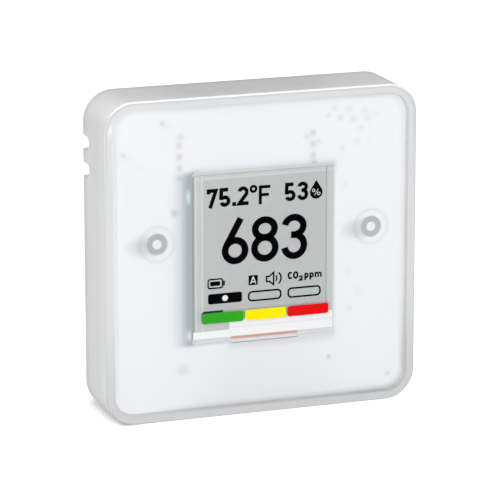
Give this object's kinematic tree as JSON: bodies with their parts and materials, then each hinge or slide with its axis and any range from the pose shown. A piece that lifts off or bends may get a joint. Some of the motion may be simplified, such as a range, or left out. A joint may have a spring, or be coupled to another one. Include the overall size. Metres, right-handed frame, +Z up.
{
  "type": "carbon dioxide monitor",
  "caption": "Small square battery-powered room air monitor in a milky translucent case with an e-paper display and colour bars, a lift-off back cover and slots for wall hanging.",
  "frame": {"origin": "centre of the case on the surface it stands on", "axes": "+X to the right, +Y from the display towards the wall behind, +Z up"},
  "size_m": [0.07, 0.024, 0.07],
  "materials": {
    "front_housing": "satin",
    "display_window": "polished",
    "green_band": "printed",
    "yellow_band": "printed",
    "red_band": "printed",
    "display_film": "matte",
    "driver_cover": "matte",
    "display_glass": "polished",
    "display_foam": "foam",
    "display_frame": "moulded",
    "display_flex": "satin",
    "flex_connector": "moulded",
    "main_board": "solder mask",
    "radio_board": "solder mask",
    "radio_shield": "brushed",
    "small_chips": "moulded",
    "climate_sensor": "moulded",
    "buzzer": "moulded",
    "co2_board": "solder mask",
    "co2_cell": "moulded",
    "co2_filter": "membrane",
    "sensor_pins": "plated",
    "switch_bodies": "moulded",
    "unit_switch_knob": "moulded",
    "calibration_switch_knob": "moulded",
    "buzzer_switch_knob": "moulded",
    "chassis": "moulded",
    "chassis_screws": "zinc plated",
    "contact_plates": "nickel plated",
    "contact_springs": "nickel plated",
    "battery_lower_can": "nickel plated",
    "battery_lower_sleeve": "printed film",
    "battery_upper_can": "nickel plated",
    "battery_upper_sleeve": "printed film",
    "back_cover": "satin"
  },
  "bodies": {
    "housing": {"front_housing": "front_housing", "display_window": "display_window", "green_band": "green_band", "yellow_band": "yellow_band", "red_band": "red_band", "display_film": "display_film", "driver_cover": "driver_cover", "display_glass": "display_glass", "display_foam": "display_foam", "display_frame": "display_frame", "display_flex": "display_flex", "flex_connector": "flex_connector", "main_board": "main_board", "radio_board": "radio_board", "radio_shield": "radio_shield", "small_chips": "small_chips", "climate_sensor": "climate_sensor", "buzzer": "buzzer", "co2_board": "co2_board", "co2_cell": "co2_cell", "co2_filter": "co2_filter", "sensor_pins": "sensor_pins", "switch_bodies": "switch_bodies", "chassis": "chassis", "chassis_screws": "chassis_screws", "contact_plates": "contact_plates", "contact_springs": "contact_springs", "battery_lower_can": "battery_lower_can", "battery_lower_sleeve": "battery_lower_sleeve", "battery_upper_can": "battery_upper_can", "battery_upper_sleeve": "battery_upper_sleeve"},
    "back_cover": {"back_cover": "back_cover"},
    "unit_switch": {"unit_switch_knob": "unit_switch_knob"},
    "calibration_switch": {"calibration_switch_knob": "calibration_switch_knob"},
    "buzzer_switch": {"buzzer_switch_knob": "buzzer_switch_knob"}
  },
  "joints": [
    {"name": "cover_lift_off", "type": "slide", "parent": "housing", "child": "back_cover", "axis": [0, 1, 0], "range_m": [0, 0.03]},
    {"name": "unit_switch_slide", "type": "slide", "parent": "housing", "child": "unit_switch", "axis": [1, 0, 0], "range_m": [0, 0.002]},
    {"name": "calibration_switch_slide", "type": "slide", "parent": "housing", "child": "calibration_switch", "axis": [1, 0, 0], "range_m": [0, 0.002]},
    {"name": "buzzer_switch_slide", "type": "slide", "parent": "housing", "child": "buzzer_switch", "axis": [1, 0, 0], "range_m": [-0.002, 0]}
  ]
}
